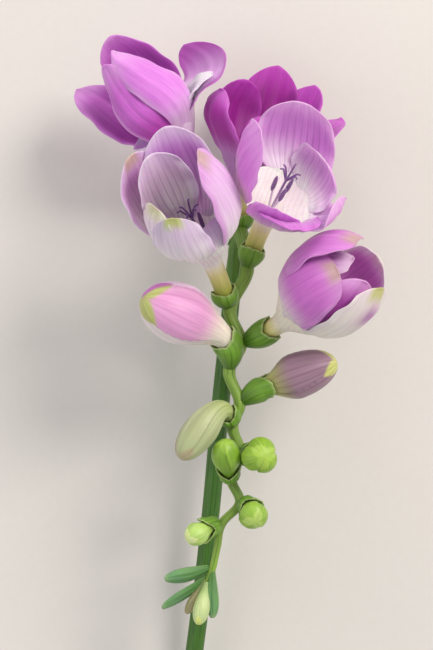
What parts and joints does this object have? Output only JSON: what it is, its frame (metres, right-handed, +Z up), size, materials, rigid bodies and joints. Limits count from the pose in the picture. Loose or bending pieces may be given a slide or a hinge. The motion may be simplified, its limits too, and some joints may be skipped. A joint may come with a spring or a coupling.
{
  "type": "freesia stem",
  "caption": "Cut flower stem lying down, with a one-sided spray of funnel-shaped open flowers, closed buds and leafy bracts on a zigzag axis.",
  "frame": {"origin": "middle of the bounding box on the surface that the stem lies on", "axes": "+Z up from the surface, +Y from the cut end towards the open flowers"},
  "size_m": [0.0868, 0.2516, 0.0722],
  "materials": {
    "stem_green": "satin",
    "petal_mauve": "matte",
    "petal_magenta": "matte",
    "stamen_purple": "matte",
    "bud_pink": "satin",
    "bud_green": "satin"
  },
  "bodies": {
    "root": {"stem": "stem_green", "bloom_rear_left": "petal_mauve", "stamens_rear_left": "stamen_purple", "bloom_rear_right": "petal_magenta", "stamens_rear_right": "stamen_purple", "bloom_front_left": "petal_mauve", "stamens_front_left": "stamen_purple", "bloom_front_right": "petal_mauve", "stamens_front_right": "stamen_purple", "bloom_opening": "petal_mauve", "stamens_opening": "stamen_purple", "bud_left_large": "bud_pink", "bud_right_large": "bud_pink", "bud_left_middle": "bud_pink", "bud_right_small": "bud_green", "bud_front_small": "bud_green", "bud_right_round": "bud_green", "bud_left_small": "bud_green"}
  },
  "joints": []
}
